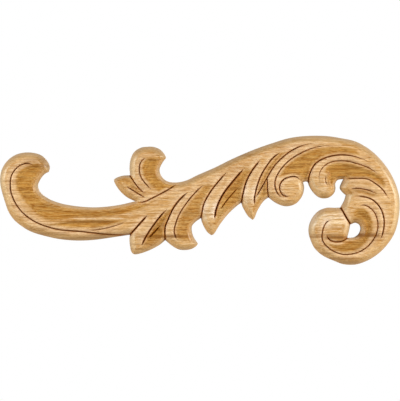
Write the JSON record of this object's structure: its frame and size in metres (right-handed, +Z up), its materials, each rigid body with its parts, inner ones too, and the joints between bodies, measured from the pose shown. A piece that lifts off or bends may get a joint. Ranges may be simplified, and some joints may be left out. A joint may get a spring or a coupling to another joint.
{
  "type": "carved wooden applique",
  "caption": "Flat-backed carved acanthus scroll in light oak, glued on as an ornament for furniture, doors, frames or mantels.",
  "frame": {"origin": "point on the flat back, half way along the length and a little above the middle of the height, in solid wood behind the second leaf", "axes": "+X along the length, from the plain hook towards the great scroll; +Z up as the ornament is shown; the carved front faces -Y and the flat back faces +Y"},
  "size_m": [0.3, 0.012, 0.0969],
  "materials": {
    "oak": "satin clear varnish over light oak"
  },
  "bodies": {
    "root": {"acanthus_applique": "oak"}
  },
  "joints": []
}
